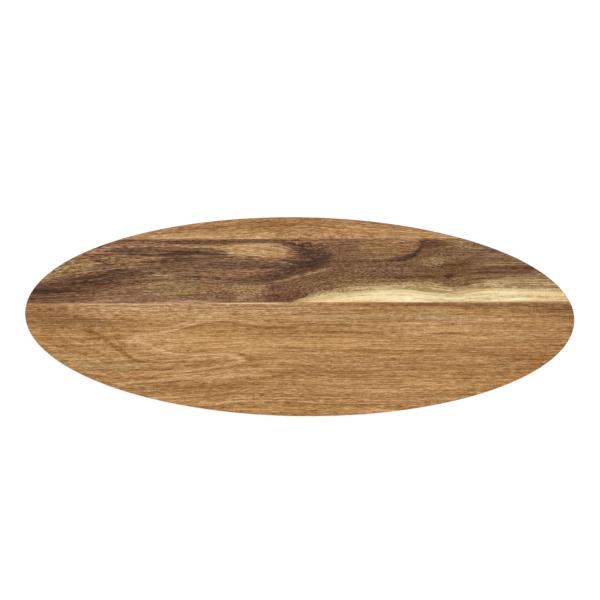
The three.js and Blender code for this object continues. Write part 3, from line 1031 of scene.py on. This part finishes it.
def cured_glue():
    material, tree, shader = new_material("cured_glue")
    place = wood_place(tree)
    tone = noise(place, GLUE_BLOTCHES) + noise(place, GLUE_SPECKS)
    plug(toned(GLUE, tone, GOLDEN_WOOD), shader.inputs["Base Color"])
    plug(GLUE_ROUGHNESS + tone * GLUE_ROUGHNESS_SPREAD, shader.inputs["Roughness"])
    shader.inputs["Specular IOR Level"].default_value = SPECULAR_LEVEL
    return material


# Stage, light and camera

FLOOR_HALF_SIZE = 6.0
FLOOR_GAP = 0.1 * MM
FLOOR_SHADE = 0.8
FLOOR_GLOW = 0.5
WORLD_LIGHT = 0.7
SUN_SHARE = 0.3
SUN_SPREAD = math.radians(50)
SUN_TILT = (math.radians(-12), math.radians(10), 0)


def shown_directly(tree):
    """1 for rays from the camera and for those it sees reflected or through glass, else 0."""
    path = tree.nodes.new("ShaderNodeLightPath")
    names = ("Is Camera Ray", "Is Glossy Ray", "Is Transmission Ray")
    return compute("MINIMUM", sum(Field(path.outputs[name]) for name in names), 1.0)


def add_floor():
    mesh = bmesh.new()
    bmesh.ops.create_grid(mesh, x_segments=1, y_segments=1, size=FLOOR_HALF_SIZE)
    floor = linked_object("floor", mesh)
    floor.location.z = UNDERSIDE - FLOOR_GAP

    material, tree, shader = new_material("pale_floor")
    tree.nodes.remove(shader)
    matte = tree.nodes.new("ShaderNodeBsdfDiffuse")
    matte.inputs["Color"].default_value = (FLOOR_SHADE, FLOOR_SHADE, FLOOR_SHADE, 1)
    glow = tree.nodes.new("ShaderNodeEmission")
    plug(shown_directly(tree) * FLOOR_GLOW, glow.inputs["Strength"])
    total = tree.nodes.new("ShaderNodeAddShader")
    tree.links.new(matte.outputs[0], total.inputs[0])
    tree.links.new(glow.outputs[0], total.inputs[1])
    tree.links.new(total.outputs[0], tree.nodes["Material Output"].inputs["Surface"])
    floor.data.materials.append(material)


def add_light():
    world = bpy.data.worlds.new("studio")
    world.use_nodes = True
    tree = world.node_tree
    background = tree.nodes["Background"]
    background.inputs["Color"].default_value = (1, 1, 1, 1)
    plug(blend(WORLD_LIGHT, 1.0, shown_directly(tree)), background.inputs["Strength"])
    bpy.context.scene.world = world

    sun = bpy.data.objects.new("key_light", bpy.data.lights.new("key_light", "SUN"))
    sun.rotation_euler = SUN_TILT
    height = math.cos(SUN_TILT[0]) * math.cos(SUN_TILT[1])
    sun.data.energy = SUN_SHARE * math.pi / height
    sun.data.angle = SUN_SPREAD
    bpy.context.scene.collection.objects.link(sun)


def add_camera():
    camera = bpy.data.objects.new("camera", bpy.data.cameras.new("camera"))
    camera.data.lens = LENS_MM
    camera.data.sensor_width = SENSOR_MM
    metres_per_pixel = 2 * HALF_LENGTH / BOARD_LENGTH_PX
    distance = metres_per_pixel * IMAGE_WIDTH_PX * LENS_MM / SENSOR_MM
    aside = (Vector((IMAGE_WIDTH_PX, IMAGE_WIDTH_PX)) / 2 - BOARD_CENTRE_PX) * metres_per_pixel
    turned = Matrix.Rotation(-GLUE_LINE_RISE, 2) @ Vector((aside.x, -aside.y))
    camera.location = (turned.x, turned.y, TOP - RIM_RADIUS + distance)
    camera.rotation_euler = (0, 0, -GLUE_LINE_RISE)
    bpy.context.scene.collection.objects.link(camera)
    bpy.context.scene.camera = camera


# Making it

glue = cured_glue()
for position, stave in STAVES.items():
    piece = layer_object(f"{position}_acacia_stave", f"{position}_stave", STAVE_ROWS)
    piece.data.materials.append(acacia(f"{position}_acacia", stave))
    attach(piece, "root")
    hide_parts(f"{position}_stave")
for position in ("upper", "lower"):
    piece = layer_object(f"{position}_glue_seam", f"{position}_glue_line", GLUE_ROWS)
    piece.data.materials.append(glue)
    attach(piece, "root")
    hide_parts(f"{position}_glue_line")

add_floor()
add_light()
add_camera()
bpy.context.scene.view_settings.view_transform = "Standard"
